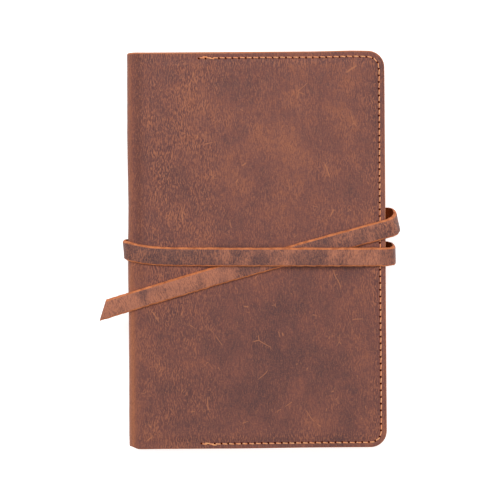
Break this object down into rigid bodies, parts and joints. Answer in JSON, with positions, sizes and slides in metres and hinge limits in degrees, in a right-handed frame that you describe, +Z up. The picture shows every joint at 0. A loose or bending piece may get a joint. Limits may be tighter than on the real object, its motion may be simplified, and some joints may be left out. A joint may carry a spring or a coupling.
{
  "type": "leather notebook cover",
  "caption": "Soft brown leather cover round a hardback notebook, with stitched inner pockets and a long flat strap wrapped round it and tucked under itself.",
  "frame": {"origin": "under the middle of the whole piece, on the surface that it lies on", "axes": "+X from the spine to the fore-edge, +Y from the tail to the head, +Z up through the front cover"},
  "size_m": [0.1682, 0.222, 0.0272],
  "materials": {
    "cover_leather": "oiled pull-up leather, satin, mottled and scuffed",
    "strap_leather": "oiled pull-up leather, satin, raw orange-tan cut edges",
    "pocket_leather": "thinner split leather, suede side, matte",
    "thread": "waxed polyester thread, orange",
    "board_cloth": "black book cloth on board, matte",
    "paper": "uncoated ivory paper"
  },
  "bodies": {
    "back_cover": {"leather_back": "cover_leather", "leather_fold_back": "cover_leather", "pocket_back": "pocket_leather", "seam_back_outside": "thread", "seam_back_inside": "thread", "board_back": "board_cloth", "endpaper_back": "paper", "signature_5": "paper", "signature_6": "paper", "signature_7": "paper", "signature_8": "paper", "strap_root": "strap_leather", "strap_lower_loop": "strap_leather", "strap_front_band": "strap_leather", "strap_spine_loop": "strap_leather", "strap_back_run": "strap_leather", "strap_upper_loop": "strap_leather", "strap_tail": "strap_leather"},
    "spine": {"leather_spine": "cover_leather", "notebook_spine": "board_cloth", "spine_lining": "paper"},
    "front_cover": {"leather_front": "cover_leather", "leather_fold_front": "cover_leather", "pocket_front": "pocket_leather", "seam_front_outside": "thread", "seam_front_inside": "thread", "board_front": "board_cloth", "endpaper_front": "paper", "signature_1": "paper", "signature_2": "paper", "signature_3": "paper", "signature_4": "paper"}
  },
  "joints": [
    {"name": "back_fold_hinge", "type": "hinge", "parent": "back_cover", "child": "spine", "pos_m": [-0.06594, 0, 0.00366], "axis": [0, -1, 0], "range_deg": [0, 90], "deforming": ["leather_fold_back", "strap_lower_loop", "strap_front_band", "strap_spine_loop", "strap_upper_loop", "strap_tail"]},
    {"name": "front_fold_hinge", "type": "hinge", "parent": "spine", "child": "front_cover", "pos_m": [-0.06594, 0, 0.02164], "axis": [0, -1, 0], "range_deg": [0, 90], "deforming": ["leather_fold_front"]}
  ],
  "couplings": [
    {"joint": "front_fold_hinge", "follows": "back_fold_hinge", "ratio": 1}
  ]
}
